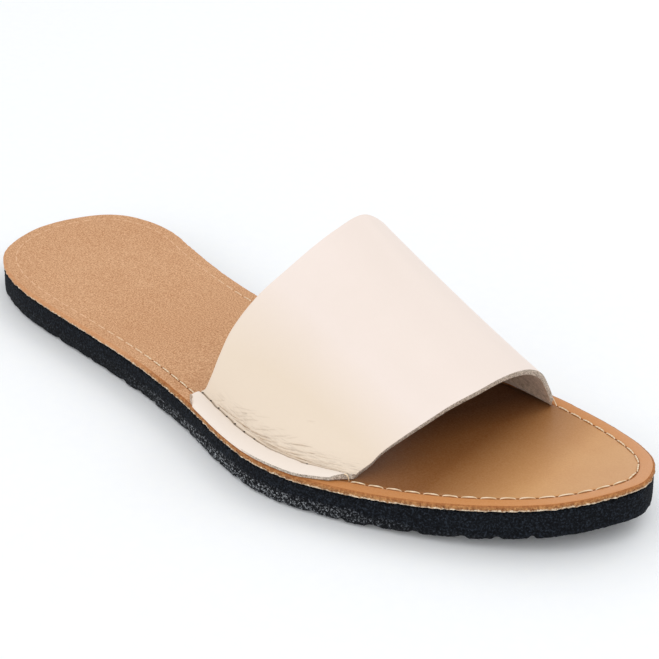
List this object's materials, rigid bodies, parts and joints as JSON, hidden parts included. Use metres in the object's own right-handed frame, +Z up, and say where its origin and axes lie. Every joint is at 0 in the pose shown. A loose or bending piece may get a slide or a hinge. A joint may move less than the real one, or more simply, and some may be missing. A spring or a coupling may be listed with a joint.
{
  "type": "slide sandal",
  "caption": "Flat right-foot slide sandal: zigzag-tread rubber outsole with toe spring, leather footbed and one wide open-toed leather band sewn down along both edges.",
  "frame": {"origin": "centre of the bounding box in plan, at the floor under the outsole", "axes": "+X towards the toe, +Y towards the big-toe side of a right foot, +Z up"},
  "size_m": [0.2494, 0.085, 0.0615],
  "materials": {
    "outsole_rubber": "matt crumb rubber, almost black",
    "footbed_leather": "natural tan, satin, fine grain",
    "band_leather": "smooth cream, satin"
  },
  "bodies": {
    "root": {"outsole": "outsole_rubber", "footbed": "footbed_leather", "upper": "band_leather"}
  },
  "joints": []
}
